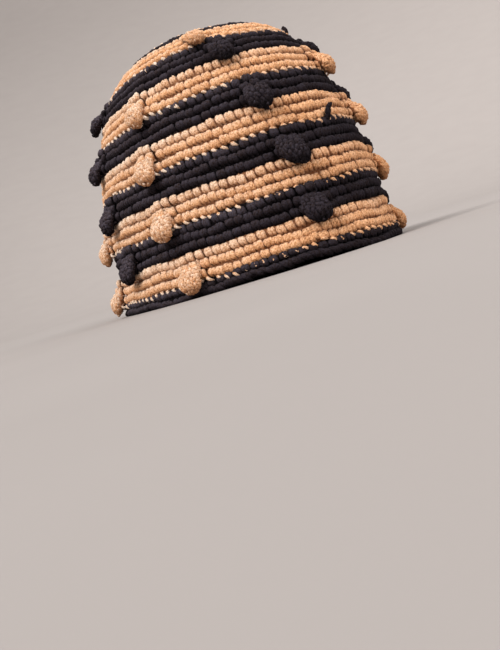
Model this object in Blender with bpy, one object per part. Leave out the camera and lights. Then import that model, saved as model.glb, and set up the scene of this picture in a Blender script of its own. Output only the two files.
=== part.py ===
"""A crocheted brimless cap: navy and tan stripes of thick cotton yarn, with drooping knobs.

Metres, +Z up. The cap stands on its rim with its front towards -Y. The origin is on the floor, under
the middle of the box round the whole cap.

The cap is worked in rounds, from the rim up. A place on it has three numbers: its run is the distance
up the outer surface from the rim's lower edge, its angle is counted from the front towards +X, and its
depth is how far it lies under the stitch tops, square to the surface.
"""

from math import cos, pi, radians, sin

import bmesh
import bpy
import numpy as np
from mathutils import Vector

# The cap outside, and its wall
RIM_LENGTH = 0.220  # front to back over the rim
RIM_WIDTH = 0.168  # left to right over the rim
CROWN_HEIGHT = 0.160
WALL = 0.0048  # stitch tops to the inner face
CLEARANCE = 0.0003  # between two stripes, and between a knob and the stripe it hangs over

# Crochet rounds
RIM_ROUND = 0.0046  # height of one of the rim's rounds
ROUNDS_IN_THE_RIM = 2
STRIPES_ABOVE_RIM = 12
ROUNDS_IN_A_STRIPE = 3
GROOVE = 0.0011  # depth of the groove between two rounds
FOOT_EDGE = 0.0012  # rounding of the rim's lower edge, on both sides of its flat foot

# The crown's shape, from the rim to the top, at about even distances up the surface
PROFILE = (
    # height as a share of CROWN_HEIGHT, radius as a share of the rim's
    (0.000, 1.000),
    (0.119, 0.962),
    (0.239, 0.948),
    (0.359, 0.931),
    (0.478, 0.903),
    (0.594, 0.861),
    (0.706, 0.802),
    (0.809, 0.722),
    (0.896, 0.610),
    (0.955, 0.450),
    (0.990, 0.245),
    (1.000, 0.000),
)
PROFILE_STEPS = 24  # steps from one row of the profile to the next
SLOPE_STEPS = 400  # steps from the rim to the top over which the surface's slope is taken

# The rim is pulled up a little over the wearer's right brow, and the wall is slightly uneven
LIFT = 0.003
LIFT_ANGLE = -32
LIFT_SPREAD = 45  # degrees to each side where the rim is down again
LIFT_FADE = 0.045  # run at which the stripes no longer follow it
WAVE = 0.0009  # how far the wall swells and sinks
WAVES_ROUND = 3
WAVE_TWIST = 7  # how far the swells turn from the rim to the top, in radians

# A knob: a nose of the stripe's own yarn, fixed to its stripe and hanging free over the stripe below
KNOB_WIDTH = 0.0150
KNOB_STAND = 0.0098  # how far it stands out of the wall
KNOB_START = 0.0045  # from the stripe's upper edge down to the knob's upper end
KNOB_HANG = 0.0072  # from the stripe's lower edge down to the knob's tip
KNOB_SIDES = 7
KNOB_SECTIONS = (
    # way down: 0 to 1 on its own stripe and 1 to 2 over the next; inner and outer side as shares of the
    # stand, the inner counted from the clearance where it hangs; width
    (0.00, -0.20, -0.02, 0.60),
    (0.30, -0.20, 0.50, 0.92),
    (0.70, -0.20, 0.92, 1.04),
    (1.00, 0.04, 1.02, 1.04),
    (1.62, 0.08, 0.94, 0.91),
    (2.00, 0.22, 0.72, 0.56),
)
KNOBS = (
    # stripe, size of its knobs, angles from the front
    (1, 1.00, (-124, -70, 46, 130)),
    (2, 1.00, (-100, -22, 54, 165)),
    (3, 1.00, (-125, -76, 39, 130)),
    (4, 1.00, (-108, -24, 50, 159)),
    (5, 0.97, (-160, -78, 30, 124)),
    (6, 0.95, (-118, -28, 46, 153)),
    (7, 0.92, (-168, -79, 23, 118)),
    (8, 0.86, (-125, -34, 42, 147)),
    (9, 0.76, (-43, 77, 197)),
)

# A small knot of yarn on the rim, beside the left front knob
KNOT_ANGLE = 57
KNOT_WIDTH = 0.0072
KNOT_STAND = 0.0046
KNOT_SECTIONS = (
    # way up the rim, its inner and outer side as shares of the stand, its width
    (0.90, -0.40, 0.05, 0.50),
    (0.68, -0.40, 0.80, 0.92),
    (0.40, -0.20, 1.00, 1.00),
    (0.16, 0.15, 0.70, 0.55),
)

# A short end of yarn that stands out of a stripe's upper edge and leans on the stripe above
YARN = 0.0023
END_LENGTH = 0.0060
END_SIDES = 6
END_SECTIONS = (
    # way up from the stripe's edge, inner and outer side as shares of YARN, width
    (-0.40, -1.20, -0.30, 0.90),
    (-0.12, -0.40, 0.60, 1.00),
    (0.20, 0.25, 1.25, 1.00),
    (0.62, 0.45, 1.40, 0.95),
    (1.00, 0.90, 1.50, 0.60),
)
YARN_ENDS = (
    # stripe, size of the end, angle from the front
    (4, 1.00, -1),
    (8, 0.75, 32),
)

# Sides of a round: fewer near the top, where the cap is narrow
LOWER_SIDES = 36
UPPER_SIDES = 24
FIRST_UPPER_STRIPE = 9

NAVY = (0.020, 0.018, 0.028, 1.0)
TAN = (0.640, 0.345, 0.168, 1.0)
ROUGHNESS = 0.9
SHARP_ANGLE = 60


def clear_scene():
    for thing in list(bpy.data.objects):
        bpy.data.objects.remove(thing)


def profile_curve():
    """The run, height and radius share at closely spaced places up the crown."""
    rows = np.array(PROFILE)
    before_rim = 2 * rows[0] - rows[1]
    past_top = rows[-2] * (1, -1)
    knots = np.vstack([before_rim, rows, past_top])
    t = np.arange(PROFILE_STEPS)[:, None] / PROFILE_STEPS
    curve = []
    for a, b, c, d in zip(knots, knots[1:], knots[2:], knots[3:]):
        bend = (2 * a - 5 * b + 4 * c - d) * t**2 + (3 * b - a - 3 * c + d) * t**3
        curve.append(b + 0.5 * ((c - a) * t + bend))
    curve = np.vstack(curve + [rows[-1:]])
    height = curve[:, 0] * CROWN_HEIGHT
    radius = curve[:, 1] * (RIM_LENGTH + RIM_WIDTH) / 4
    steps = np.hypot(np.diff(height), np.diff(radius))
    return np.concatenate([[0], np.cumsum(steps)]), height, curve[:, 1]


RUNS, HEIGHTS, SHARES = profile_curve()
TOP_RUN = RUNS[-1]
RIM_RUN = RIM_ROUND * ROUNDS_IN_THE_RIM
STRIPE_RUN = (TOP_RUN - RIM_RUN) / STRIPES_ABOVE_RIM


def height_and_share(run):
    return np.interp(run, RUNS, HEIGHTS), np.interp(run, RUNS, SHARES)


def lift(run, angle):
    """How far the rim's low front is raised, least at the sides and at the stripes above it."""
    away = abs((angle - radians(LIFT_ANGLE) + pi) % (2 * pi) - pi)
    across = cos(min(away / radians(LIFT_SPREAD), 1) * pi / 2)
    fade = max(0, 1 - run / LIFT_FADE)
    return LIFT * across**2 * fade**2


def swell(run, angle):
    """The wall's slight unevenness, none at the rim's foot or at the top."""
    way_up = run / TOP_RUN
    return WAVE * sin(pi * way_up) * sin(WAVES_ROUND * angle + WAVE_TWIST * way_up)


def place(run, angle, depth):
    """The point at a run, an angle and a depth under the stitch tops."""
    height, share = height_and_share(run)
    step = TOP_RUN / SLOPE_STEPS
    height_over, share_over = height_and_share(run + step)
    height_under, share_under = height_and_share(run - step)
    rise = height_over - height_under
    narrowing = share_over - share_under
    half_length, half_width = RIM_LENGTH / 2, RIM_WIDTH / 2
    outward = Vector((
        half_length * rise * sin(angle),
        -half_width * rise * cos(angle),
        -half_length * half_width * narrowing,
    )).normalized()
    on_surface = Vector((half_width * share * sin(angle), -half_length * share * cos(angle), height))
    point = on_surface + outward * (swell(run, angle) - depth)
    point.z += lift(run, angle)
    return point


def on_floor(angle, depth):
    """A point of the rim's flat foot."""
    point = place(0, angle, depth)
    point.z = lift(0, angle)
    return point


def stripe_span(stripe):
    """The lower and upper run of a stripe's stitches; stripe 0 is the rim."""
    lower = 0 if stripe == 0 else RIM_RUN + (stripe - 1) * STRIPE_RUN
    upper = RIM_RUN + stripe * STRIPE_RUN
    return lower + CLEARANCE / 2, upper - CLEARANCE / 2


def add_loop(bm, points):
    """A closed loop of edges through the points."""
    verts = [bm.verts.new(point) for point in points]
    return [bm.edges.new((a, b)) for a, b in zip(verts, verts[1:] + verts[:1])]


def skin(name, loops, ends):
    """A closed mesh over loops of points: ends is 'joined' for a ring, 'filled' for a plain end face."""
    bm = bmesh.new()
    rings = [add_loop(bm, points) for points in loops]
    pairs = list(zip(rings, rings[1:]))
    if ends == "joined":
        pairs.append((rings[-1], rings[0]))
    for one, other in pairs:
        bmesh.ops.bridge_loops(bm, edges=one + other)
    if ends == "filled":
        bmesh.ops.contextual_create(bm, geom=rings[0])
        bmesh.ops.contextual_create(bm, geom=rings[-1])
    bmesh.ops.recalc_face_normals(bm, faces=bm.faces)
    mesh = bpy.data.meshes.new(name)
    bm.to_mesh(mesh)
    bm.free()
    return mesh


def angles_round(sides):
    return [2 * pi * side / sides for side in range(sides)]


def ribs(lower, upper, rounds):
    """Run and depth of each groove and each stitch top of the rounds, from below up."""
    pitch = (upper - lower) / rounds
    rows = [(lower, GROOVE)]
    for number in range(rounds):
        rows.append((lower + (number + 0.5) * pitch, 0))
        rows.append((lower + (number + 1) * pitch, GROOVE))
    return rows


def rim_loops():
    """The rim stripe: two rounds over a flat foot whose edges are rounded."""
    lower, upper = stripe_span(0)
    angles = angles_round(LOWER_SIDES)
    foot_outer = [on_floor(angle, GROOVE + FOOT_EDGE / 2) for angle in angles]
    foot_inner = [on_floor(angle, WALL - FOOT_EDGE) for angle in angles]
    rows = ribs(lower, upper, ROUNDS_IN_THE_RIM)[1:]
    rows += [(upper, WALL), (FOOT_EDGE, WALL)]
    walls = [[place(run, angle, depth) for angle in angles] for run, depth in rows]
    return [foot_outer] + walls + [foot_inner]


def stripe_loops(stripe):
    """A stripe of three rounds, with a plain inner face."""
    lower, upper = stripe_span(stripe)
    angles = angles_round(UPPER_SIDES if stripe >= FIRST_UPPER_STRIPE else LOWER_SIDES)
    rows = ribs(lower, upper, ROUNDS_IN_A_STRIPE)
    rows += [(upper, WALL), (lower, WALL)]
    return [[place(run, angle, depth) for angle in angles] for run, depth in rows]


def crown_loops():
    """The closed centre of the crown, from its inner face round its edge to the middle of the top."""
    lower, upper = stripe_span(STRIPES_ABOVE_RIM)
    angles = angles_round(UPPER_SIDES)
    rows = [(lower + (upper - lower) / 2, WALL), (lower, WALL)]
    rows += ribs(lower, upper, ROUNDS_IN_A_STRIPE)[:-1]
    return [[place(run, angle, depth) for angle in angles] for run, depth in rows]


def length_of_radian(run, angle):
    """How far a place moves round the oval when its angle grows by one radian."""
    share = height_and_share(run)[1]
    return share * Vector((RIM_WIDTH / 2 * cos(angle), RIM_LENGTH / 2 * sin(angle))).length


def nose_loops(rows, angle, sides):
    """Oval loops along a nose; each row gives a run, how far its two sides stand out, and its width."""
    loops = []
    for run, inner, outer, width in rows:
        middle, half_depth = (inner + outer) / 2, (outer - inner) / 2
        per_radian = length_of_radian(run, angle)
        loop = []
        for turn in angles_round(sides):
            aside = width / 2 * cos(turn) / per_radian
            loop.append(place(run, angle + aside, -middle - half_depth * sin(turn)))
        loops.append(loop)
    return loops


def knob_rows(stripe, size):
    lower, upper = stripe_span(stripe)
    fixed = size * (upper - KNOB_START - lower)
    for down, inner, outer, width in KNOB_SECTIONS:
        if down < 1:
            run = lower + (1 - down) * fixed
            clear = 0
        else:
            run = lower - (down - 1) * size * KNOB_HANG
            clear = CLEARANCE
        stand = size * KNOB_STAND
        yield run, clear + inner * stand, outer * stand, width * size * KNOB_WIDTH


def knot_rows():
    lower, upper = stripe_span(0)
    for up, inner, outer, width in KNOT_SECTIONS:
        run = lower + up * (upper - lower)
        yield run, inner * KNOT_STAND, outer * KNOT_STAND, width * KNOT_WIDTH


def yarn_end_rows(stripe, size):
    edge = stripe_span(stripe)[1]
    for up, inner, outer, width in END_SECTIONS:
        yield edge + up * size * END_LENGTH, inner * YARN, outer * YARN, width * YARN


def extras(stripe):
    """Meshes of the knobs, the knot and the yarn ends that grow out of a stripe."""
    for knob_stripe, size, angles in KNOBS:
        if knob_stripe == stripe:
            for angle in angles:
                loops = nose_loops(knob_rows(stripe, size), radians(angle), KNOB_SIDES)
                yield skin("knob", loops, "filled")
    for end_stripe, size, angle in YARN_ENDS:
        if end_stripe == stripe:
            loops = nose_loops(yarn_end_rows(stripe, size), radians(angle), END_SIDES)
            yield skin("yarn_end", loops, "filled")
    if stripe == 0:
        yield skin("knot", nose_loops(knot_rows(), radians(KNOT_ANGLE), END_SIDES), "filled")


def yarn_material(name, colour):
    material = bpy.data.materials.new(name)
    material.use_nodes = True
    shader = material.node_tree.nodes["Principled BSDF"]
    shader.inputs["Base Color"].default_value = colour
    shader.inputs["Roughness"].default_value = ROUGHNESS
    shader.inputs["Metallic"].default_value = 0.0
    return material


def add_object(name, mesh, parent):
    thing = bpy.data.objects.new(name, mesh)
    bpy.context.collection.objects.link(thing)
    thing.parent = parent
    return thing


def union_with(stripe_object, mesh):
    """Grow a knob or a yarn end out of the stripe, with a helper object that isn't a piece itself."""
    helper = add_object(stripe_object.name + "_" + mesh.name, mesh, stripe_object.parent)
    helper.hide_render = True
    helper.display_type = "WIRE"
    union = stripe_object.modifiers.new(mesh.name, "BOOLEAN")
    union.operation = "UNION"
    union.solver = "EXACT"
    union.object = helper
    return helper


def shade(mesh, material):
    mesh.materials.append(material)
    mesh.shade_smooth()
    mesh.set_sharp_from_angle(angle=radians(SHARP_ANGLE))


def stripe_name(stripe):
    if stripe == 0:
        return "navy_rim"
    if stripe == STRIPES_ABOVE_RIM:
        return "navy_crown_%d" % stripe
    return "%s_stripe_%d" % ("tan" if stripe % 2 else "navy", stripe)


def build_cap():
    clear_scene()
    cap = bpy.data.objects.new("cap", None)
    bpy.context.collection.objects.link(cap)
    pieces = []
    for stripe in range(STRIPES_ABOVE_RIM + 1):
        name = stripe_name(stripe)
        if stripe == 0:
            mesh = skin(name, rim_loops(), "joined")
        elif stripe == STRIPES_ABOVE_RIM:
            mesh = skin(name, crown_loops(), "filled")
        else:
            mesh = skin(name, stripe_loops(stripe), "joined")
        piece = add_object(name, mesh, cap)
        shade(mesh, yarn_material(name + "_yarn", TAN if stripe % 2 else NAVY))
        pieces.append(piece)
        for extra in extras(stripe):
            shade(extra, mesh.materials[0])
            pieces.append(union_with(piece, extra))
    points = [vert.co for piece in pieces for vert in piece.data.vertices]
    for axis in (0, 1):
        values = [point[axis] for point in points]
        cap.location[axis] = -(min(values) + max(values)) / 2


build_cap()
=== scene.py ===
# %% [markdown]
# # A crocheted cap with drooping knobs
# The cap is crocheted in rounds from thick cotton yarn, in navy and tan stripes, with short knobs that
# hang from its sides like little noses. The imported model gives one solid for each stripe. Each is
# replaced here by a piece that is made stitch by stitch in the same place, so that light and shade fall
# on real rows of yarn.

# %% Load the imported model
from math import cos, pi, radians, sin

import bpy
import numpy as np
from mathutils import Matrix, Vector


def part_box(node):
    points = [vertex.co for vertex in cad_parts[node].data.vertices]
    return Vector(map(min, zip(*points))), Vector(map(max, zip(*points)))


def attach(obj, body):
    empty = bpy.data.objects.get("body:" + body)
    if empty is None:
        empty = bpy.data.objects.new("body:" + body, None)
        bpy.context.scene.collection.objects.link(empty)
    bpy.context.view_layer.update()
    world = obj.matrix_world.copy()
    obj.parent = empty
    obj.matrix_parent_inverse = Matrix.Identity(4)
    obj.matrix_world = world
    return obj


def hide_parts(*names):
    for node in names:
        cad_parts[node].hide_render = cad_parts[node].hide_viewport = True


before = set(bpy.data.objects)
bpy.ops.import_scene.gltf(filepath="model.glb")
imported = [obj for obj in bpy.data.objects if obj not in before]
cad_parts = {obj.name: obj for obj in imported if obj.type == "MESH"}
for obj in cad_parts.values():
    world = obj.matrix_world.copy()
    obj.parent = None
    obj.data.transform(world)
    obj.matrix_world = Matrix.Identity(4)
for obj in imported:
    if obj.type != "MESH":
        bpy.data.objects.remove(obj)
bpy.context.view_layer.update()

CROWN_LOW, CROWN_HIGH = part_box("navy_crown_12")
AXIS_X = (CROWN_LOW[0] + CROWN_HIGH[0]) / 2
AXIS_Y = (CROWN_LOW[1] + CROWN_HIGH[1]) / 2
print("the cap's axis stands at", round(AXIS_X, 5), round(AXIS_Y, 5))

# %% [markdown]
# ## Camera
# The photograph looks at the cap's left front from a little below its rim. The cap rests on a floor here,
# so the camera stands just above that floor, and is rolled as the photograph shows the cap tilted. It
# could stand further off, but then every stripe would run straight. It is near enough for the upper
# stripes to arch, though less than in the photograph. The place and the lens come from a fit of the
# solids' surface to the photograph.

# %% The camera's place
CAMERA_AZIMUTH = radians(-40.9)
CAMERA_DISTANCE = 0.50  # from the cap's axis
CAMERA_HEIGHT = 0.010
AHEAD = Vector((-sin(CAMERA_AZIMUTH), cos(CAMERA_AZIMUTH), 0))  # level, from the camera to the axis
RIGHT = Vector((cos(CAMERA_AZIMUTH), sin(CAMERA_AZIMUTH), 0))
UP = Vector((0, 0, 1))
CAMERA_PLACE = Vector((AXIS_X, AXIS_Y, CAMERA_HEIGHT)) - AHEAD * CAMERA_DISTANCE
print("camera at", [round(value, 3) for value in CAMERA_PLACE])

# %% The camera
CAMERA_YAW = -0.0280  # in radians, like the pitch and the roll
CAMERA_PITCH = -0.0794
CAMERA_ROLL = -0.2996
CAMERA_LENS = 40.9  # in millimetres, like the sensor's width
SENSOR = 36
CLIP_START = 0.01


def turned(first, second, angle):
    """Two directions at right angles, turned by an angle from the first towards the second."""
    return first * cos(angle) + second * sin(angle), second * cos(angle) - first * sin(angle)


def camera_axes():
    """The camera's right, up and back directions, from its yaw, pitch and roll."""
    ahead, right = turned(AHEAD, RIGHT, CAMERA_YAW)
    ahead, up = turned(ahead, UP, CAMERA_PITCH)
    right, up = turned(right, up, CAMERA_ROLL)
    return right, up, -ahead


def add_camera():
    data = bpy.data.cameras.new("camera")
    data.lens = CAMERA_LENS
    data.sensor_width = SENSOR
    data.clip_start = CLIP_START
    camera = bpy.data.objects.new("camera", data)
    bpy.context.collection.objects.link(camera)
    facing = Matrix(camera_axes()).transposed().to_4x4()
    camera.matrix_world = Matrix.Translation(CAMERA_PLACE) @ facing
    bpy.context.scene.camera = camera


add_camera()
print("the lens is", CAMERA_LENS, "mm")

# %% [markdown]
# ## Studio
# The cap shows best on something pale and plain. A floor and a separate wall would meet in a line, so one
# round sheet of paper sweeps up on all sides and looks the same from every view. A sun from the left gives
# the stitches their small shadows, as in the photograph. A wide light from the right and a pale sky keep
# those shadows soft.

# %% Helpers for materials


def add_node(tree, kind, values=None, **settings):
    """A shader node; values sets or links its inputs by name or number."""
    node = tree.nodes.new("ShaderNode" + kind)
    for name, value in settings.items():
        setattr(node, name, value)
    for name, value in (values or {}).items():
        if isinstance(value, bpy.types.NodeSocket):
            tree.links.new(value, node.inputs[name])
        else:
            node.inputs[name].default_value = value
    return node


def calculate(tree, operation, *values, clamp=False):
    node = add_node(tree, "Math", dict(enumerate(values)), operation=operation, use_clamp=clamp)
    return node.outputs[0]


def mix_colour(tree, share, a, b, blend="MIX"):
    node = add_node(tree, "Mix", {0: share, 6: a, 7: b}, data_type="RGBA", blend_type=blend)
    return node.outputs[2]


def new_material(name):
    material = bpy.data.materials.new(name)
    material.use_nodes = True
    return material, material.node_tree, material.node_tree.nodes["Principled BSDF"]


print("helpers for materials are defined")

# %% The paper
PAPER_DARK = (0.375, 0.345, 0.333, 1)
PAPER_LIGHT = (0.40, 0.369, 0.356, 1)
PAPER_GRAIN, PAPER_DETAIL = 90.0, 3.0
PAPER_ROUGHNESS, PAPER_GLOSS = 0.9, 0.2


def paper_material():
    material, tree, shader = new_material("plain_paper")
    grain = add_node(tree, "TexNoise", {"Scale": PAPER_GRAIN, "Detail": PAPER_DETAIL})
    shade = mix_colour(tree, grain.outputs["Fac"], PAPER_DARK, PAPER_LIGHT)
    tree.links.new(shade, shader.inputs["Base Color"])
    shader.inputs["Roughness"].default_value = PAPER_ROUGHNESS
    shader.inputs["Specular IOR Level"].default_value = PAPER_GLOSS
    return material


PAPER = paper_material()
print("the paper's material has", len(PAPER.node_tree.nodes), "nodes")

# %% Floor and backdrop
MIDDLE_RADII = (0.02, 0.6)
FLOOR_RADIUS = 2.0
SWEEP_RADIUS = 1.6
WALL_HEIGHT = 2.3
SWEEP_STEPS = 20
STAGE_SIDES = 96


def stage_profile():
    """Radius and height of the sheet's rings, from the floor's middle to the top of its wall."""
    profile = [(radius, 0.0) for radius in MIDDLE_RADII]
    for step in range(SWEEP_STEPS + 1):
        turn = pi / 2 * step / SWEEP_STEPS
        profile.append((FLOOR_RADIUS + SWEEP_RADIUS * sin(turn), SWEEP_RADIUS * (1 - cos(turn))))
    return profile + [(FLOOR_RADIUS + SWEEP_RADIUS, WALL_HEIGHT)]


def add_stage():
    """One plain round sheet: a floor that sweeps up into a low wall on all sides."""
    profile = stage_profile()
    turns = [2 * pi * side / STAGE_SIDES for side in range(STAGE_SIDES)]
    points = [(radius * cos(turn), radius * sin(turn), height) for radius, height in profile
              for turn in turns]
    faces = [tuple(range(STAGE_SIDES))]
    for row in range(len(profile) - 1):
        for side in range(STAGE_SIDES):
            a, b = row * STAGE_SIDES + side, row * STAGE_SIDES + (side + 1) % STAGE_SIDES
            faces.append((a, b, b + STAGE_SIDES, a + STAGE_SIDES))
    mesh = bpy.data.meshes.new("stage")
    mesh.from_pydata(points, [], faces)
    mesh.shade_smooth()
    mesh.materials.append(PAPER)
    stage = bpy.data.objects.new("stage", mesh)
    bpy.context.collection.objects.link(stage)
    return len(faces)


sheet_faces = add_stage()
print("the sheet has", sheet_faces, "faces")

# %% Lights
LIT_HEIGHT = 0.08  # the lights look at the cap's axis at this height
SKY_COLOUR = (0.92, 0.90, 0.88, 1)
SKY_STRENGTH = 0.95


def add_light(kind, name, side, away, height, size, power, colour):
    """A light placed as seen from the camera; its size is in metres, or a sun's angle in radians."""
    data = bpy.data.lights.new(name, kind)
    if kind == "SUN":
        data.angle = size
    else:
        data.size = size
    data.energy = power
    data.color = colour
    light = bpy.data.objects.new(name, data)
    bpy.context.collection.objects.link(light)
    light.location = RIGHT * side - AHEAD * away + UP * height
    aim = UP * LIT_HEIGHT - light.location
    light.rotation_euler = aim.to_track_quat("-Z", "Y").to_euler()


def add_sky():
    world = bpy.data.worlds.new("studio")
    bpy.context.scene.world = world
    world.use_nodes = True
    background = world.node_tree.nodes["Background"]
    background.inputs["Color"].default_value = SKY_COLOUR
    background.inputs["Strength"].default_value = SKY_STRENGTH


add_light("SUN", "key", side=-0.75, away=0.75, height=1.05, size=0.5, power=3.0,
          colour=(1.0, 0.97, 0.94))
add_light("AREA", "fill", side=1.0, away=0.9, height=0.62, size=1.0, power=7.2,
          colour=(1.0, 0.98, 0.97))
add_sky()
bpy.context.scene.view_settings.view_transform = "Standard"
print("lights:", [light.name for light in bpy.data.lights])

# %% [markdown]
# ## The surface that the stitches lie on
# A crocheted cap is a row of rounds on one smooth form. A place on it is given by its run, the distance
# up the surface from the rim, and its angle from the front. The sizes are the solids' own, so the
# stitches land where the collision model is. Lofting a skin through them would give the form but not the
# yarn.

# %% Sizes of the cap
RIM_LENGTH = 0.220
RIM_WIDTH = 0.168
CROWN_HEIGHT = 0.160
WALL = 0.0048
RIM_RUN = 0.0092
STRIPES_ABOVE_RIM = 12
PROFILE = np.array((
    # height as a share of CROWN_HEIGHT, radius as a share of the rim's
    (0.000, 1.000),
    (0.119, 0.962),
    (0.239, 0.948),
    (0.359, 0.931),
    (0.478, 0.903),
    (0.594, 0.861),
    (0.706, 0.802),
    (0.809, 0.722),
    (0.896, 0.610),
    (0.955, 0.450),
    (0.990, 0.245),
    (1.000, 0.000),
))
PROFILE_STEPS = 24
MM = 1000  # millimetres in a metre


def profile_curve():
    """Run, height and radius share at closely spaced places up the crown."""
    knots = np.vstack([2 * PROFILE[0] - PROFILE[1], PROFILE, PROFILE[-2] * (1, -1)])
    t = np.arange(PROFILE_STEPS)[:, None] / PROFILE_STEPS
    curve = []
    for a, b, c, d in zip(knots, knots[1:], knots[2:], knots[3:]):
        bend = (2 * a - 5 * b + 4 * c - d) * t**2 + (3 * b - a - 3 * c + d) * t**3
        curve.append(b + 0.5 * ((c - a) * t + bend))
    curve = np.vstack(curve + [PROFILE[-1:]])
    height = curve[:, 0] * CROWN_HEIGHT
    radius = curve[:, 1] * (RIM_LENGTH + RIM_WIDTH) / 4
    steps = np.hypot(np.diff(height), np.diff(radius))
    return np.concatenate([[0], np.cumsum(steps)]), height, curve[:, 1]


RUNS, HEIGHTS, SHARES = profile_curve()
TOP_RUN = RUNS[-1]
STRIPE_RUN = (TOP_RUN - RIM_RUN) / STRIPES_ABOVE_RIM
print("rim to top over the surface:", round(TOP_RUN * MM, 1), "mm; a stripe:", round(STRIPE_RUN * MM, 2))

# %% A place on the surface
SLOPE_STEPS = 400
LIFT, LIFT_ANGLE, LIFT_SPREAD, LIFT_FADE = 0.003, radians(-32), radians(45), 0.045  # the rim's lift
WAVE, WAVES_ROUND, WAVE_TWIST = 0.0009, 3, 7  # the wall swells and sinks a little


def unit(vectors):
    return vectors / np.linalg.norm(vectors, axis=-1, keepdims=True)


def surface(run, angle, stand):
    """Points that stand out of the cap's outside, and the directions round, up and out of it there."""
    run, angle, stand = np.broadcast_arrays(*(np.asarray(value, float) for value in (run, angle, stand)))
    step = TOP_RUN / SLOPE_STEPS
    rise = np.interp(run + step, RUNS, HEIGHTS) - np.interp(run - step, RUNS, HEIGHTS)
    narrowing = np.interp(run + step, RUNS, SHARES) - np.interp(run - step, RUNS, SHARES)
    half_length, half_width = RIM_LENGTH / 2, RIM_WIDTH / 2
    out = unit(np.stack([half_length * rise * np.sin(angle), -half_width * rise * np.cos(angle),
                         -half_length * half_width * narrowing], -1))
    along = unit(np.stack([half_width * np.cos(angle), half_length * np.sin(angle), 0 * angle], -1))
    up = np.cross(out, along)
    share = np.interp(run, RUNS, SHARES)
    points = np.stack([AXIS_X + half_width * share * np.sin(angle),
                       AXIS_Y - half_length * share * np.cos(angle), np.interp(run, RUNS, HEIGHTS)], -1)
    way_up = np.clip(run / TOP_RUN, 0, 1)
    swell = WAVE * np.sin(pi * way_up) * np.sin(WAVES_ROUND * angle + WAVE_TWIST * way_up)
    points += out * (swell + stand)[..., None]
    away = np.abs((angle - LIFT_ANGLE + pi) % (2 * pi) - pi)
    across = np.cos(np.minimum(away / LIFT_SPREAD, 1) * pi / 2)
    points[..., 2] += LIFT * across**2 * np.clip(1 - run / LIFT_FADE, 0, 1)**2
    return points, along, up, out


print("the front of the rim is at", surface(0, 0, 0)[0].round(4))

# %% Ways round the cap
ROUND_STEPS = 720


def length_of_radian(run, angle):
    share = np.interp(run, RUNS, SHARES)
    return share * np.hypot(RIM_WIDTH / 2 * np.cos(angle), RIM_LENGTH / 2 * np.sin(angle))


def rim_ways():
    """Angles round the oval, and the way along the rim up to each."""
    angles = np.linspace(0, 2 * pi, ROUND_STEPS + 1)
    arcs = length_of_radian(0, angles)
    return angles, np.concatenate([[0], np.cumsum((arcs[1:] + arcs[:-1]) / 2)]) * 2 * pi / ROUND_STEPS


RIM_ANGLES, RIM_WAYS = rim_ways()
RIM_ROUND_LENGTH = RIM_WAYS[-1]


def angle_at(way):
    """The angle at a share of the way round the oval, from the front."""
    return np.interp(np.asarray(way) % 1, RIM_WAYS / RIM_ROUND_LENGTH, RIM_ANGLES)


def stripe_span(stripe):
    """The lower and upper run of a stripe; stripe 0 is the rim."""
    return (0 if stripe == 0 else RIM_RUN + (stripe - 1) * STRIPE_RUN), RIM_RUN + stripe * STRIPE_RUN


print("the rim is", round(RIM_ROUND_LENGTH * MM), "mm round")

# %% [markdown]
# ## One stitch
# Each stitch is two fat legs of yarn side by side, which read as one bead with a slit in it. The legs
# dive into the round below. Under a tan stripe the right leg goes on aslant over the navy, which makes
# the small pale teeth there, and the rim's lowest round is wound like a rope. Curves with a round bevel
# could make the legs, but thousands of them would be slow. A leg is a tube over a short table of places
# instead, so a stitch costs few faces and is copied with numpy.

# %% Tables of the legs
YARN_RADIUS = 0.00155
STITCH_WIDTH = 0.0057
STITCH_HEIGHT = 0.0056
RIGHT_LEG = np.array((
    # across in stitch widths, up in stitch heights, out in yarn radii, thickness in yarn radii
    (0.31, -0.58, -2.3, 0.40),
    (0.26, -0.42, -1.50, 0.70),
    (0.19, -0.22, -1.14, 0.96),
    (0.15, 0.00, -1.00, 1.04),
    (0.12, 0.20, -1.15, 0.98),
    (0.08, 0.40, -2.1, 0.50),
))
TOOTH_LEG = np.array((
    # a right leg that goes on over the round below
    (0.76, -1.04, -2.3, 0.28),
    (0.67, -0.95, -0.80, 0.46),
    (0.56, -0.82, -0.42, 0.53),
    (0.45, -0.67, -0.55, 0.54),
    (0.37, -0.54, -1.80, 0.42),
    (0.25, -0.34, -1.35, 0.82),
    (0.15, 0.00, -1.00, 1.04),
    (0.12, 0.20, -1.15, 0.98),
    (0.08, 0.40, -2.1, 0.50),
))
LEFT_LEG = np.array((
    (-0.03, -0.52, -2.3, 0.40),
    (-0.10, -0.34, -1.50, 0.76),
    (-0.15, -0.12, -1.08, 1.00),
    (-0.18, 0.10, -1.00, 1.04),
    (-0.17, 0.28, -1.30, 0.90),
    (-0.12, 0.43, -2.2, 0.45),
))
ROPE_LEG = np.array((
    # a strand of the curled lowest round
    (0.42, -0.46, -2.4, 0.45),
    (0.26, -0.29, -1.40, 0.86),
    (0.09, -0.10, -1.04, 1.02),
    (-0.09, 0.10, -1.04, 1.02),
    (-0.26, 0.29, -1.50, 0.86),
    (-0.40, 0.44, -2.4, 0.45),
))
SMALL_LEG = np.array((
    # the one short leg of a knob's small stitch
    (0.10, -0.62, -1.4, 0.30),
    (0.05, -0.36, -0.55, 0.80),
    (0.00, 0.00, -0.30, 1.00),
    (-0.03, 0.34, -0.55, 0.80),
    (-0.06, 0.58, -1.4, 0.30),
))
ROPE_APART = (0.25, 0, 0, 0)  # the rope's two strands lie so far to each side, in the table's columns
print("a stitch is", STITCH_WIDTH * MM, "mm wide and", STITCH_HEIGHT * MM, "mm high")

# %% A tube of yarn
STITCH_SIDES = 8
BEAD_SIDES = 6


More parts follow.
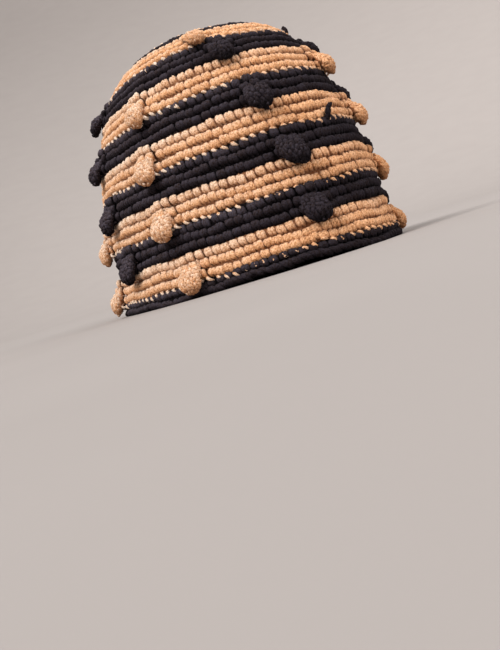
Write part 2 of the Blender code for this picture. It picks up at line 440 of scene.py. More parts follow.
def tube_points(middle, radii, sides, sideways_from=(0.0, 0.0, 1.0)):
    """Points of a tube round a line, and its strand data: the turn round it and the way along it in mm."""
    ahead = unit(np.gradient(middle, axis=0))
    side = unit(np.cross(ahead, sideways_from))
    over = np.cross(side, ahead)
    turns = 2 * pi * np.arange(sides) / sides
    ring = side[:, None] * np.cos(turns)[:, None] + over[:, None] * np.sin(turns)[:, None]
    points = middle[:, None] + ring * radii[:, None, None]
    length = np.concatenate([[0], np.cumsum(np.linalg.norm(np.diff(middle, axis=0), axis=1))])
    strand = np.empty_like(points)
    strand[..., 0] = np.cos(turns)
    strand[..., 1] = np.sin(turns)
    strand[..., 2] = (length * MM)[:, None]
    return points.reshape(-1, 3), strand.reshape(-1, 3)


def tube_faces(rings, sides):
    """The corner numbers of a tube's faces, its two ends filled, as one list, and each face's size."""
    faces = []
    for ring in range(rings - 1):
        for side in range(sides):
            a, b = ring * sides + side, ring * sides + (side + 1) % sides
            faces.append((a, b, b + sides, a + sides))
    faces.append(tuple(range(sides))[::-1])
    faces.append(tuple(range((rings - 1) * sides, rings * sides)))
    return np.array([corner for face in faces for corner in face]), np.array([len(face) for face in faces])


def stitch_template(tables, sides):
    """Points, strand data, corner numbers and face sizes of one stitch of normal size."""
    points, strands, corners, sizes = [], [], [], []
    first = 0
    for table in tables:
        middle = table[:, :3] * (STITCH_WIDTH, STITCH_HEIGHT, YARN_RADIUS)
        leg, strand = tube_points(middle, table[:, 3] * YARN_RADIUS, sides)
        leg_corners, leg_sizes = tube_faces(len(table), sides)
        points.append(leg)
        strands.append(strand)
        corners.append(leg_corners + first)
        sizes.append(leg_sizes)
        first += len(leg)
    return np.vstack(points), np.vstack(strands), np.concatenate(corners), np.concatenate(sizes)


STITCH = stitch_template((RIGHT_LEG, LEFT_LEG), STITCH_SIDES)
TOOTHED = stitch_template((TOOTH_LEG, LEFT_LEG), STITCH_SIDES)
ROPE = stitch_template((ROPE_LEG + ROPE_APART, ROPE_LEG - ROPE_APART), STITCH_SIDES)
BEAD = stitch_template((SMALL_LEG,), BEAD_SIDES)
for label, template in (("plain", STITCH), ("toothed", TOOTHED), ("rope", ROPE), ("knob", BEAD)):
    print("a", label, "stitch has", int((template[3] - 2).sum()), "triangles")

# %% [markdown]
# ## Many stitches as one mesh
# A stripe has hundreds of stitches, which hold together as one fabric. As separate objects they
# would be slow and could be pulled apart, so all the yarn of a stripe is gathered in one mesh. Each point
# carries two small sets of numbers that its finish is made from: strand, its place in the yarn, and look,
# which is the stitch's own tint, how much painted highlight the place takes, and how open it lies to the
# light, which sets its painted shade.

# %% Gather a piece


class Work:
    """Points, faces and yarn data of one piece, gathered part by part."""

    def __init__(self, seed):
        self.points, self.corners, self.sizes, self.strands, self.looks = [], [], [], [], []
        self.count = 0
        self.lumps = np.random.default_rng(seed)

    def add(self, points, corners, sizes, strands, looks):
        self.points.append(points)
        self.corners.append(corners + self.count)
        self.sizes.append(sizes)
        self.strands.append(strands)
        self.looks.append(looks)
        self.count += len(points)


print("a new piece starts with", Work(0).count, "points")

# %% Lay stitches
TOOTH_BELOW = -0.58  # height in a stitch under which its leg lies over the round below
TOOTH_LOOK = (1.7, 1.0)  # full painted highlight and no painted shade: the teeth are the palest yarn
LUMPS = 0.00011  # how far yarn strays from a round leg
GROOVE_DEPTH = 2.6  # in yarn radii, the depth over which painted shade darkens a groove
OPENNESS = 1.18  # how soon the side of a bead is clear of its groove's painted shade
PALE_MIDDLE = 0.5  # how much painted highlight the middle of a stitch takes
STRAND_APART = 40  # millimetres of yarn over which the stitches start their plies


def stitch_looks(shape, chance, pale, darkest, shade):
    looks = np.empty((len(chance), len(shape), 3))
    looks[..., 0] = chance[:, None]
    # painted highlight grows towards the top of each stitch
    looks[..., 1] = np.clip(PALE_MIDDLE + shape[:, 1] / STITCH_HEIGHT + np.reshape(pale, (-1, 1)), 0, 1)
    # the third look is how open a place lies: painted shade falls on what lies deep in a groove
    clear = 1 + shape[:, 2] / (GROOVE_DEPTH * YARN_RADIUS)
    looks[..., 2] = np.clip(OPENNESS * clear, darkest, 1) * np.reshape(shade, (-1, 1))
    looks[:, shape[:, 1] < TOOTH_BELOW * STITCH_HEIGHT, 1:] = TOOTH_LOOK
    return looks


def add_stitches(work, template, frames, width, height, thick, chance, turn, pale, darkest=0.0,
                 shade=1.0):
    """Stitches in frames (place, across, up, out); width and height in metres, thick as a share."""
    shape, strand, corners, face_sizes = template
    place, across, up, out = frames
    count = len(place)
    x = shape[None, :, 0] * (width / STITCH_WIDTH)[:, None]
    y = shape[None, :, 1] * (height / STITCH_HEIGHT)[:, None]
    z = shape[None, :, 2] * thick[:, None]
    turn = turn[:, None]
    x, y = x * np.cos(turn) - y * np.sin(turn), x * np.sin(turn) + y * np.cos(turn)
    points = place[:, None] + x[..., None] * across[:, None] + y[..., None] * up[:, None]
    points = points + z[..., None] * out[:, None]
    points += work.lumps.normal(0, LUMPS, points.shape) * (width / STITCH_WIDTH)[:, None, None]
    strands = np.tile(strand, (count, 1, 1))
    strands[..., 2] += (chance * STRAND_APART)[:, None]
    looks = stitch_looks(shape, chance, pale, darkest, shade)
    numbers = corners[None] + len(shape) * np.arange(count)[:, None]
    work.add(points.reshape(-1, 3), numbers.ravel(), np.tile(face_sizes, count),
             strands.reshape(-1, 3), looks.reshape(-1, 3))


print("yarn strays", LUMPS * MM, "mm from a round leg")

# %% Add a skin or a loose strand
STRAND_SIDES = 8
STRAND_SIDEWAYS = (0.31, 0.17, 0.93)  # no loose strand runs in this direction


def add_skin(work, points, look, closed_up):
    """A skin over rows of points that are closed round; look is the yarn data of all of it."""
    rows, sides = points.shape[:2]
    numbers = np.arange(rows * sides).reshape(rows, sides)
    lower, upper = (numbers, np.roll(numbers, -1, 0)) if closed_up else (numbers[:-1], numbers[1:])
    corners = np.stack([lower, np.roll(lower, -1, 1), np.roll(upper, -1, 1), upper], -1).reshape(-1)
    sizes = np.full(len(corners) // 4, 4)
    if not closed_up:
        corners = np.concatenate([corners, numbers[0, ::-1], numbers[-1]])
        sizes = np.concatenate([sizes, [sides, sides]])
    turns = np.tile(np.arange(sides) * 2 * pi / sides, rows)
    strands = np.stack([np.cos(turns), np.sin(turns), np.repeat(np.arange(rows), sides)], -1)
    work.add(points.reshape(-1, 3), corners, sizes, strands, np.tile(look, (rows * sides, 1)))


def add_strand(work, middle, radii, look):
    """A round strand along a line of points."""
    points, strands = tube_points(middle, radii, STRAND_SIDES, STRAND_SIDEWAYS)
    corners, sizes = tube_faces(len(middle), STRAND_SIDES)
    work.add(points, corners, sizes, strands, np.tile(look, (len(points), 1)))


print("a loose strand has", STRAND_SIDES, "sides")

# %% Make the mesh


def make_piece(work, name, material):
    """The piece's object and its number of triangles; nothing of it goes below the floor."""
    points = np.vstack(work.points)
    points[:, 2] = np.maximum(points[:, 2], 0)
    corners, sizes = np.concatenate(work.corners), np.concatenate(work.sizes)
    mesh = bpy.data.meshes.new(name)
    mesh.vertices.add(len(points))
    mesh.vertices.foreach_set("co", points.astype(np.float32).ravel())
    mesh.loops.add(len(corners))
    mesh.loops.foreach_set("vertex_index", corners.astype(np.int32))
    mesh.polygons.add(len(sizes))
    starts = np.concatenate([[0], np.cumsum(sizes)[:-1]])
    mesh.polygons.foreach_set("loop_start", starts.astype(np.int32))
    mesh.update(calc_edges=True)
    for label, rows in (("strand", work.strands), ("look", work.looks)):
        data = mesh.attributes.new(label, "FLOAT_VECTOR", "POINT")
        data.data.foreach_set("vector", np.vstack(rows).astype(np.float32).ravel())
    mesh.shade_smooth()
    mesh.materials.append(material)
    piece = bpy.data.objects.new(name, mesh)
    bpy.context.collection.objects.link(piece)
    return piece, int((sizes - 2).sum())


print("pieces made so far:", sum(mesh.name.endswith("_yarn") for mesh in bpy.data.meshes))

# %% [markdown]
# ## Yarn
# The real yarn is matt cotton of several plies with a short fuzz. The plies are a bump that winds round
# each leg, from the strand data that the stitches carry, so the twist follows every bend, with painted
# shade between them. The tops of the beads get a painted highlight and the grooves between them painted
# shade.
# The highlight is stronger towards the left side and the top of the cap, where the light falls, and comes
# in random patches, and each stitch has its own slight tint. A picture of yarn could not follow the
# stitches so. The fuzz is flecks of light and dark with a fine bump, because single hairs would be finer
# than a pixel.

# %% Plies
PLIES = 6
PLY_TWIST = 5.0  # radians of their wave that the plies gain in a millimetre of yarn
PLY_STRAY = 9.0  # radians that loose fibres shift it


def yarn_plies(tree, strand, fibres):
    """A wave from 0 to 1 over the plies, which wind round the leg."""
    turn = calculate(tree, "ARCTAN2", strand[1], strand[0])
    phase = calculate(tree, "ADD", calculate(tree, "MULTIPLY", turn, PLIES),
                      calculate(tree, "MULTIPLY", strand[2], PLY_TWIST))
    phase = calculate(tree, "ADD", phase, calculate(tree, "MULTIPLY", fibres, PLY_STRAY))
    return calculate(tree, "MULTIPLY_ADD", calculate(tree, "SINE", phase), 0.5, 0.5)


print("the plies' wave repeats every", round(2 * pi / PLY_TWIST, 2), "mm of yarn")

# %% Colour of the yarn
GROOVE_SHADE = 2.6  # power by which painted shade darkens places which aren't quite open
# painted highlight on the beads starts at this level of their second look; the next adds to it everywhere
HIGHLIGHT_FROM = 0.22
HIGHLIGHT_ALL = 0.10
HIGHLIGHT_SIDE = (-5.0, 4.3, 1.6)  # towards the left and the top, where the light falls, as a share of painted highlight for each metre
OWN_SPREAD, OWN_LEAST = 0.30, 0.85  # brightness of a stitch's own tint
FLECK_SPREAD, FLECK_LEAST = 3.3, -0.63
# painted shade between the plies, where their bump is low
PLY_SHADE_SPREAD, PLY_SHADE_LEAST = 0.22, 0.87
BRIGHTEST_FLECK = 1.22
DARK_IS_WARM = (0.65, 1.0, 1.4)  # powers of red, green and blue: the dark flecks are more orange


def yarn_brightness(tree, own, fibres, plies):
    own = calculate(tree, "MULTIPLY_ADD", own, OWN_SPREAD, OWN_LEAST)
    fleck = calculate(tree, "MULTIPLY_ADD", fibres, FLECK_SPREAD, FLECK_LEAST)
    # painted shade between the plies
    ply = calculate(tree, "MULTIPLY_ADD", plies, PLY_SHADE_SPREAD, PLY_SHADE_LEAST)
    bright = calculate(tree, "MULTIPLY", calculate(tree, "MULTIPLY", own, fleck), ply)
    return calculate(tree, "MINIMUM", bright, BRIGHTEST_FLECK)


def yarn_colour(tree, look, place, patches, bright, painted_shade, body, painted_highlight):
    """Painted shade in the grooves, body on the beads, and a painted highlight on their open tops, in
    random patches.
    """
    # painted shade in the grooves, by how open a place lies
    shade = mix_colour(tree, calculate(tree, "POWER", look[2], GROOVE_SHADE, clamp=True), painted_shade, body)
    # painted highlight on the open tops of the beads, more towards the left and the top, in random patches
    highlit = calculate(tree, "SUBTRACT", look[1], HIGHLIGHT_FROM, clamp=True)
    highlit = calculate(tree, "MULTIPLY", highlit, look[2], clamp=True)
    side = add_node(tree, "VectorMath", {0: place, 1: HIGHLIGHT_SIDE}, operation="DOT_PRODUCT")
    lit_side_and_patches = calculate(tree, "ADD", calculate(tree, "ADD", patches, HIGHLIGHT_ALL), side.outputs["Value"])
    shade = mix_colour(tree, calculate(tree, "MULTIPLY", highlit, lit_side_and_patches, clamp=True), shade, painted_highlight)
    warm = [calculate(tree, "POWER", bright, power) for power in DARK_IS_WARM]
    tint = add_node(tree, "CombineColor", dict(enumerate(warm))).outputs[0]
    return mix_colour(tree, 1.0, shade, tint, "MULTIPLY")


print("flecks are at most", BRIGHTEST_FLECK, "times as bright as the yarn")

# %% The yarn material
FIBRES = {"Scale": 1150.0, "Detail": 3.0, "Roughness": 0.6}
PATCHES = {"Scale": 26.0, "Detail": 2.0}
PLY_BUMP = {"Distance": 0.0002, "Strength": 0.6}
FIBRE_BUMP = {"Distance": 0.0009, "Strength": 0.9}
YARN_ROUGHNESS = 0.92
SHEEN_ROUGHNESS = 0.5


def yarn_material(name, painted_shade, body, painted_highlight, sheen_colour, sheen, gloss):
    material, tree, shader = new_material(name)
    strand, look = (
        add_node(tree, "SeparateXYZ", {
            0: add_node(tree, "Attribute", attribute_name=label).outputs["Vector"]}).outputs
        for label in ("strand", "look"))
    place = add_node(tree, "TexCoord").outputs["Object"]
    fibres, patches = (add_node(tree, "TexNoise", {"Vector": place, **values}).outputs["Fac"]
                       for values in (FIBRES, PATCHES))
    plies = yarn_plies(tree, strand, fibres)
    bright = yarn_brightness(tree, look[0], fibres, plies)
    shade = yarn_colour(tree, look, place, patches, bright, painted_shade, body, painted_highlight)
    tree.links.new(shade, shader.inputs["Base Color"])
    ply_bump = add_node(tree, "Bump", {"Height": plies, **PLY_BUMP}).outputs[0]
    fibre_bump = add_node(tree, "Bump", {"Height": fibres, **FIBRE_BUMP, "Normal": ply_bump}).outputs[0]
    tree.links.new(fibre_bump, shader.inputs["Normal"])
    shader.inputs["Roughness"].default_value = YARN_ROUGHNESS
    shader.inputs["Specular IOR Level"].default_value = gloss
    shader.inputs["Sheen Weight"].default_value = sheen
    shader.inputs["Sheen Roughness"].default_value = SHEEN_ROUGHNESS
    shader.inputs["Sheen Tint"].default_value = sheen_colour
    return material


# the darkest colour of each yarn is painted shade for its grooves, the palest a painted highlight on its
# beads
TAN_YARN = yarn_material("tan_cotton", painted_shade=(0.14, 0.036, 0.008, 1), body=(0.85, 0.440, 0.212, 1),
                         painted_highlight=(0.87, 0.68, 0.53, 1), sheen_colour=(1.0, 0.88, 0.75, 1), sheen=0.12,
                         gloss=0.2)
NAVY_YARN = yarn_material("navy_cotton", painted_shade=(0.0010, 0.0006, 0.0006, 1),
                          body=(0.0170, 0.0122, 0.0150, 1), painted_highlight=(0.092, 0.075, 0.090, 1),
                          sheen_colour=(0.9, 0.85, 1.0, 1), sheen=0.02, gloss=0.06)
print("yarns:", TAN_YARN.name, len(TAN_YARN.node_tree.nodes), "nodes and", NAVY_YARN.name)

# %% [markdown]
# ## Knobs
# The knobs are little crocheted noses, worked in their stripe's own yarn, that droop over the stripe
# below. A ball or a bent cone would be the wrong form, and smooth. A nose here is rings of small stitches
# over a skin, and both take the solid's own sections. The knobs hang a millimetre less than the solid's,
# because the stitches at the tip add that again.

# %% Form and places of the knobs
KNOB_WIDTH, KNOB_STAND, KNOB_START, KNOB_HANG = 0.0150, 0.0098, 0.0045, 0.0062
KNOB_SECTIONS = np.array((
    # way down: 0 to 1 on its own stripe and 1 to 2 over the next; inner and outer side; width
    (0.00, -0.20, -0.02, 0.60),
    (0.30, -0.20, 0.50, 0.92),
    (0.70, -0.20, 0.92, 1.04),
    (1.00, 0.04, 1.02, 1.04),
    (1.62, 0.08, 0.94, 0.91),
    (2.00, 0.22, 0.72, 0.56),
    (2.14, 0.42, 0.52, 0.10),
))
KNOBS = (
    # stripe, size of its knobs, angles from the front
    (1, 1.00, (-124, -70, 46, 130)),
    (2, 1.00, (-100, -22, 54, 165)),
    (3, 1.00, (-125, -76, 39, 130)),
    (4, 1.00, (-108, -24, 50, 159)),
    (5, 0.97, (-160, -78, 30, 124)),
    (6, 0.95, (-118, -28, 46, 153)),
    (7, 0.92, (-168, -79, 23, 118)),
    (8, 0.86, (-125, -34, 42, 147)),
    (9, 0.76, (-43, 77, 197)),
)


def knobs_of(stripe):
    """Size and angle of each knob on a stripe."""
    return [(size, radians(angle)) for knob_stripe, size, angles in KNOBS if knob_stripe == stripe
            for angle in angles]


print("the cap has", sum(len(angles) for stripe, size, angles in KNOBS), "knobs")

# %% A nose's skin


def nose(run, angle, inner, outer, width, turn, grow):
    """Points on a nose's skin, turned round it from its right over its outer side."""
    half_width, half_depth = width / 2 + grow, (outer - inner) / 2 + grow
    aside = half_width * np.cos(turn) / length_of_radian(run, angle)
    return surface(run, angle + aside, (inner + outer) / 2 + half_depth * np.sin(turn))[0]


def knob_skin(stripe, size, angle, lean, down, turn, grow=0.0):
    lower, upper = stripe_span(stripe)
    fixed = size * (upper - KNOB_START - lower)
    run = np.where(down < 1, lower + (1 - down) * fixed, lower - (down - 1) * size * KNOB_HANG)
    inner, outer, width = (size * np.interp(down, KNOB_SECTIONS[:, 0], KNOB_SECTIONS[:, column])
                           for column in (1, 2, 3))
    leaning = angle + lean * size * (down / 2)**2 / length_of_radian(run, angle)
    return nose(run, leaning, inner * KNOB_STAND, outer * KNOB_STAND, width * KNOB_WIDTH, turn, grow)


print("a knob is", KNOB_WIDTH * MM, "mm wide and stands out", KNOB_STAND * MM, "mm")

# %% Rings of small stitches
KNOB_STITCH = 0.0027
KNOB_INSET = -0.0010  # its stitches lie that deep in the nose's skin, and stand out to it
KNOB_LEAN = 0.0012  # how far its tip turns to the right, on average
KNOB_ROWS = (0.10, 0.27, 0.44, 0.61, 0.78, 0.95, 1.20, 1.47, 1.72, 1.93, 2.09)  # ways down
KNOB_BACK = -0.25  # sine of the turn past which a ring on its own stripe has no stitches
BEAD_WIDE, BEAD_TALL, BEAD_THICK, BEAD_TURN = 1.75, 1.35, 0.85, 0.3
# how uneven its stitches are: in their way round, way down and depth, then in size, thickness and turn
ROUND_SPREAD, DOWN_SPREAD, INSET_SPREAD = 0.13, 0.022, 0.0002
SIZE_SPREAD, THICK_SPREAD, TURN_SPREAD = 0.12, 0.1, 0.45
KNOB_DARKEST = 0.55  # its small stitches have shallow grooves, so little painted shade
KNOB_PALE, KNOB_PALE_OVER = 0.50, 0.2  # painted highlight: its upper end and its outer side take the most
TIP_FROM, TIP_SHADE, BACK_SHADE = 1.2, 0.35, 0.2  # painted shade darkens its tip and its back
LEAST_BEADS = 4
RING_PLACES = 25
NEAR = 0.01  # a small step in the turn or the way down, for directions on the skin


def knob_frames(knob, down, turns, grow):
    """Places and directions of stitches on a knob (stripe, size, angle, lean)."""
    place = knob_skin(*knob, down, turns, grow)
    across = unit(knob_skin(*knob, down, turns - NEAR) - knob_skin(*knob, down, turns + NEAR))
    along = unit(knob_skin(*knob, down - NEAR, turns) - knob_skin(*knob, down + NEAR, turns))
    out = unit(np.cross(across, along))
    return place, across, np.cross(out, across), out


def add_knob_ring(work, knob, row, level, rng):
    size = knob[1]
    ring = knob_skin(*knob, level, np.linspace(0, 2 * pi, RING_PLACES))
    around = np.linalg.norm(np.diff(ring, axis=0), axis=1).sum()
    count = max(LEAST_BEADS, round(around / (KNOB_STITCH * size)))
    turns = (np.arange(count) + 0.5 * (row % 2) + rng.normal(0, ROUND_SPREAD, count)) * 2 * pi / count
    if level < 1:
        turns = turns[np.sin(turns) > KNOB_BACK]
    many = len(turns)
    down = level + rng.normal(0, DOWN_SPREAD, many)
    frames = knob_frames(knob, down, turns, rng.normal(KNOB_INSET, INSET_SPREAD, many))
    bead = KNOB_STITCH * size * rng.normal(1, SIZE_SPREAD, many)
    # painted highlight on the knob's upper end and outer side, painted shade on its tip and its back
    pale = KNOB_PALE * (1 - level) + KNOB_PALE_OVER * np.sin(turns)
    shade = (1 - TIP_SHADE * np.clip(level - TIP_FROM, 0, 1)
             - BACK_SHADE * np.clip(-np.sin(turns), 0, 1))
    add_stitches(work, BEAD, frames, bead * BEAD_WIDE, bead * BEAD_TALL,
                 rng.normal(BEAD_THICK, THICK_SPREAD, many), rng.random(many),
                 rng.normal(BEAD_TURN, TURN_SPREAD, many), pale, KNOB_DARKEST, shade)


print("a knob has", len(KNOB_ROWS), "rings of stitches")

# %% A whole knob
SKIN_ROWS, SKIN_SIDES, SKIN_END = 10, 14, 2.08
SKIN_INSET = -0.0015  # under the stitches
# its own tint, some painted highlight and a little painted shade
SKIN_LOOK = (0.5, 0.45, 0.8)


def add_knob(work, stripe, size, angle, rng):
    knob = (stripe, size, angle, rng.normal(KNOB_LEAN, KNOB_LEAN))
    downs = np.linspace(0.0, SKIN_END, SKIN_ROWS)[:, None]
    turns = np.linspace(0, 2 * pi, SKIN_SIDES, endpoint=False)[None]
    add_skin(work, knob_skin(*knob, downs, turns, SKIN_INSET), SKIN_LOOK, False)
    for row, level in enumerate(KNOB_ROWS):
        add_knob_ring(work, knob, row, level, rng)


trial = Work(0)
add_knob(trial, 1, 1.0, 0.0, np.random.default_rng(0))
print("a full-size knob has", trial.count, "points")

# %% [markdown]
# ## Knot and yarn ends
# A small knot sits on the rim, and two cut ends of navy yarn stand out of the stripes they belong to. The
# knot could be knotted as a curve, but only its outside shows, so it is three short wraps pulled tight
# over one another. A yarn end is four plies that wind round each other, because a cut end opens at its
# tip, where one plain tube would look like wire.

# %% The knot on the rim
KNOT_ANGLE, KNOT_WIDTH, KNOT_STAND = radians(57), 0.0072, 0.0046
KNOT_WRAPS = (
    # way up the rim, its inner and outer side as shares of the stand, its width
    (0.74, -0.40, 0.62, 0.80),
    (0.46, -0.30, 0.85, 1.00),
    (0.22, -0.05, 0.66, 0.74),
)
KNOT_YARN = 0.0011
KNOT_PLACES = 12
KNOT_TURNS = (-0.25 * pi, 1.25 * pi)  # from its right over its outer side to its left
KNOT_SLANT = 0.12  # how far a wrap rises and falls, as a share of the rim's height
# its own tint, some painted highlight and a little painted shade
KNOT_LOOK = (0.5, 0.6, 0.9)


def add_knot(work):
    """Three short wraps of yarn, pulled tight over one another."""
    lower, upper = stripe_span(0)
    turns = np.linspace(*KNOT_TURNS, KNOT_PLACES)
    slant = np.linspace(-KNOT_SLANT, KNOT_SLANT, KNOT_PLACES)
    for up, inner, outer, width in KNOT_WRAPS:
        run = lower + (up + slant) * (upper - lower)
        middle = nose(run, KNOT_ANGLE, inner * KNOT_STAND, outer * KNOT_STAND, width * KNOT_WIDTH,
                      turns, -KNOT_YARN)
        add_strand(work, middle, np.full(KNOT_PLACES, KNOT_YARN), KNOT_LOOK)


print("the knot has", len(KNOT_WRAPS), "wraps")

# %% The two yarn ends
YARN, END_LENGTH = 0.0023, 0.0060
END_SECTIONS = np.array((
    # way up from the stripe's edge, inner and outer side as shares of YARN
    (-0.40, -1.20, -0.30),
    (-0.12, -0.40, 0.60),
    (0.20, 0.25, 1.25),
    (0.62, 0.45, 1.40),
    (1.00, 0.90, 1.50),
))
YARN_ENDS = (
    # stripe, size of the end, angle from the front
    (4, 1.00, radians(-1)),
    (8, 0.75, radians(32)),
)
END_PLIES = 4
END_PLACES = 10
END_TIP = 0.92
END_WIND = 3.2  # radians that a ply turns over the length of an end
PLY_RADIUS = 0.00090
END_SPREAD = ((-0.4, 0.5), (0.75, 0.80))  # ways up, and how far the plies stand apart there
END_TAPER = ((-0.4, 0.8, 1.0), (1.1, 1.0, 0.80))  # ways up, and how thick the plies are there
END_LEAN = 0.0045  # how far the tip of a yarn end turns to the right
# its own tint, some painted highlight and a little painted shade
END_LOOK = (0.4, 0.5, 0.9)


def add_yarn_end(work, stripe, size, angle):
    """A cut end of yarn whose plies wind round each other."""
    edge = stripe_span(stripe)[1]
    ups = np.linspace(END_SECTIONS[0, 0], END_TIP, END_PLACES)
    inner, outer = (YARN * np.interp(ups, END_SECTIONS[:, 0], END_SECTIONS[:, column])
                    for column in (1, 2))
    spread = size * YARN / 2 * np.interp(ups, *END_SPREAD)
    radii = size * PLY_RADIUS * np.interp(ups, *END_TAPER)
    lean = END_LEAN * size * np.clip(ups, 0, 1)**2
    for ply in range(END_PLIES):
        wind = 2 * pi * ply / END_PLIES + END_WIND * ups
        aside = (spread * np.cos(wind) + lean) / length_of_radian(edge, angle)
        stand = (inner + outer) / 2 + spread * np.sin(wind)
        middle = surface(edge + ups * size * END_LENGTH, angle + aside, stand)[0]
        add_strand(work, middle, radii, END_LOOK)


print("the yarn ends stand on stripes", [stripe for stripe, size, angle in YARN_ENDS])

# %% [markdown]
# ## Wall and rounds
# A stripe is three rounds of stitches, one above the other, and the rim is two. Behind them the yarn goes
# on inside the fabric, where nobody sees it, so a plain ribbed wall stands for it and closes the gaps.
# Hand work is uneven: each round wanders a little, each stitch has its own size and lean, and the
# stitches round a knob are drawn out to it. A perfectly even pattern would look like knitting by machine.
# All the chance comes from seeded generators, so every render shows the same cap.

# %% The wall under the stitches
ROUNDS_IN_A_STRIPE = 3
RIM_ROUNDS = 2
WALL_RIB, WALL_GROOVE = 0.0012, 0.0027  # from the stitch tops down to the wall, on a round and between two
INSIDE_GROOVE = 0.0008
WALL_LOWEST = 0.0006  # the wall's foot, clear of the floor
WALL_SIDES = 96
# the wall shows only in the gaps between stitches, so its look gives it painted shade
WALL_LOOK = (0.3, 0.3, 0.45)


def rounds_of(stripe):
    return RIM_ROUNDS if stripe == 0 else ROUNDS_IN_A_STRIPE


def add_wall(work, stripe):
    """The wall under the stitches, closed all round, with a rib for each round on both of its faces."""
    lower, upper = stripe_span(stripe)
    rounds = rounds_of(stripe)
    angles = angle_at(np.arange(WALL_SIDES) / WALL_SIDES)
    runs = lower + (upper - lower) * np.arange(2 * rounds + 1) / (2 * rounds)
    outside = [(run, -WALL_RIB if rib % 2 else -WALL_GROOVE) for rib, run in enumerate(runs)]
    inside = [(run, -WALL if rib % 2 else INSIDE_GROOVE - WALL) for rib, run in enumerate(runs)]
    rows = outside + inside[::-1]
    points = [surface(max(run, WALL_LOWEST), angles, stand)[0] for run, stand in rows]
    add_skin(work, np.array(points), WALL_LOOK, True)


print("rounds in the whole cap:", sum(rounds_of(stripe) for stripe in range(STRIPES_ABOVE_RIM + 1)))

# %% The pucker round a knob
PUCKER = 0.0050
PUCKER_REACH = 0.0135
PUCKER_FLATTER = 0.9  # the pucker reaches a little further up and down than round


def pucker(stripe, runs, angles):
    """How far the stitches round a knob of this stripe are drawn out towards it."""
    lower, upper = stripe_span(stripe)
    rise = np.zeros(len(angles))
    for size, angle in knobs_of(stripe):
        aside = (angles - angle + pi) % (2 * pi) - pi
        away = np.hypot(aside * length_of_radian(runs, angles),
                        (runs - (lower + upper) / 2) * PUCKER_FLATTER)
        near = np.clip(1 - away / (PUCKER_REACH * size), 0, 1)
        rise = np.maximum(rise, PUCKER * size * near**2 * (3 - 2 * near))
    return rise


print("a knob draws the fabric out by up to", PUCKER * MM, "mm")

# %% Where the stitches of a round go
WANDER = 0.00042  # how far a round strays up and down
WANDER_WAVES = (5, 9, 17)
ROUND_SHIFT = (0.35, 0.62)  # a round starts so many stitches to the left of the one below
UNEVEN_WAY = 0.045  # of a stitch, round the cap
UNEVEN_PLACE = 0.00015
LOWEST_RUN = 0.0004
FIRST_CLOSING_STRIPE = 11  # from here up each round has fewer stitches than the one below
LEAST_STITCHES = 5


def stitches_round(stripe, run):
    """How many stitches a round has."""
    lower, upper = stripe_span(stripe)
    measured_at = run if stripe >= FIRST_CLOSING_STRIPE else (lower + upper) / 2
    share = np.interp(measured_at, RUNS, SHARES)
    return max(LEAST_STITCHES, round(RIM_ROUND_LENGTH * share / STITCH_WIDTH))


def round_frames(stripe, run, count, start, rng):
    """Places and directions of the stitches of one round."""
    angles = angle_at((np.arange(count) + start + rng.normal(0, UNEVEN_WAY, count)) / count)
    waves = rng.random(len(WANDER_WAVES)) * 2 * pi
    stray = WANDER * sum(np.sin(times * angles + wave) for times, wave in zip(WANDER_WAVES, waves))
    narrow = min(1, np.interp(run, RUNS, SHARES))
    runs = np.clip(run + stray * narrow + rng.normal(0, UNEVEN_PLACE, count), LOWEST_RUN, TOP_RUN)
    return surface(runs, angles, rng.normal(0, UNEVEN_PLACE, count) + pucker(stripe, runs, angles))


print("the lowest stripe has", stitches_round(1, RIM_RUN), "stitches to a round")

# %% The rounds of a stripe
STITCH_LEAN = 0.12  # to the left at its top, in radians
TOP_ROUND_PALE, LOWER_ROUNDS_PALE = 0.32, -0.05  # the top round of a stripe takes the most painted highlight
TOP_ROUND_CROWDED, LOWER_ROUNDS_CROWDED = 1.09, 1.25  # stitch width as a share of the room for it
UNEVEN_WIDTH, UNEVEN_HEIGHT, UNEVEN_THICK, UNEVEN_LEAN = 0.05, 0.04, 0.06, 0.08


def stitch_form(stripe, number):
    """The template and the lean of the stitches in a round."""
    if number == 0 and stripe == 0:
        return ROPE, 0
    if number == 0 and stripe % 2:
        return TOOTHED, STITCH_LEAN
    return STITCH, STITCH_LEAN


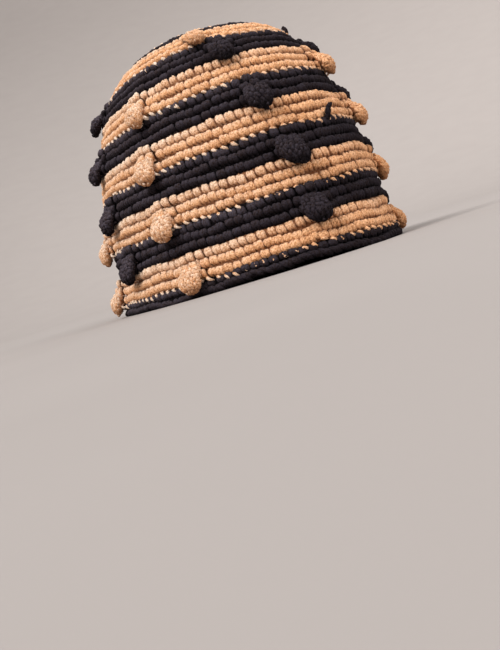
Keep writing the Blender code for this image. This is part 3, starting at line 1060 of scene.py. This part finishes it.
def add_rounds(work, stripe, rng):
    lower, upper = stripe_span(stripe)
    rounds = rounds_of(stripe)
    height = (upper - lower) / rounds
    start = rng.random()
    for number in range(rounds):
        run = lower + (number + 0.5) * height
        top = number == rounds - 1
        count = stitches_round(stripe, run)
        start -= rng.uniform(*ROUND_SHIFT)
        frames = round_frames(stripe, run, count, start, rng)
        crowded = TOP_ROUND_CROWDED if top else LOWER_ROUNDS_CROWDED
        room = RIM_ROUND_LENGTH * np.interp(run, RUNS, SHARES) / count
        width = room * (crowded + rng.normal(0, UNEVEN_WIDTH, count))
        tall = height * (1.0 + rng.normal(0, UNEVEN_HEIGHT, count))
        template, lean = stitch_form(stripe, number)
        add_stitches(work, template, frames, width, tall, rng.normal(1, UNEVEN_THICK, count),
                     rng.random(count), rng.normal(lean, UNEVEN_LEAN, count),
                     TOP_ROUND_PALE if top else LOWER_ROUNDS_PALE)


print("a round is about", round(STRIPE_RUN / ROUNDS_IN_A_STRIPE * MM, 2), "mm high")

# %% [markdown]
# ## The stripes
# On the real cap one stripe is worked onto the last, and the yarn changes at the edge. Each stripe is one
# piece here, in the place of its own solid and named after it, so that the collision model and the
# visible yarn stay together. One mesh for the whole cap would be simpler, but the stripes could not be
# told apart.

# %% Make the stripes
HAND_SEED, LUMP_SEED = 100, 200


def piece_name(stripe):
    if stripe == 0:
        return "navy_rim"
    if stripe == STRIPES_ABOVE_RIM:
        return "navy_crown_%d" % stripe
    return "%s_stripe_%d" % ("tan" if stripe % 2 else "navy", stripe)


def work_stripe(stripe):
    rng = np.random.default_rng(HAND_SEED + stripe)
    work = Work(LUMP_SEED + stripe)
    add_wall(work, stripe)
    add_rounds(work, stripe, rng)
    for size, angle in knobs_of(stripe):
        add_knob(work, stripe, size, angle, rng)
    for end_stripe, size, angle in YARN_ENDS:
        if end_stripe == stripe:
            add_yarn_end(work, stripe, size, angle)
    if stripe == 0:
        add_knot(work)
    return work


total = 0
for stripe in range(STRIPES_ABOVE_RIM + 1):
    name = piece_name(stripe)
    tan = name.startswith("tan")
    piece, triangles = make_piece(work_stripe(stripe), name + "_yarn", TAN_YARN if tan else NAVY_YARN)
    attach(piece, "root")
    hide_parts(name)
    total += triangles
    print(name, triangles, "triangles")
print("all stripes:", total, "triangles")
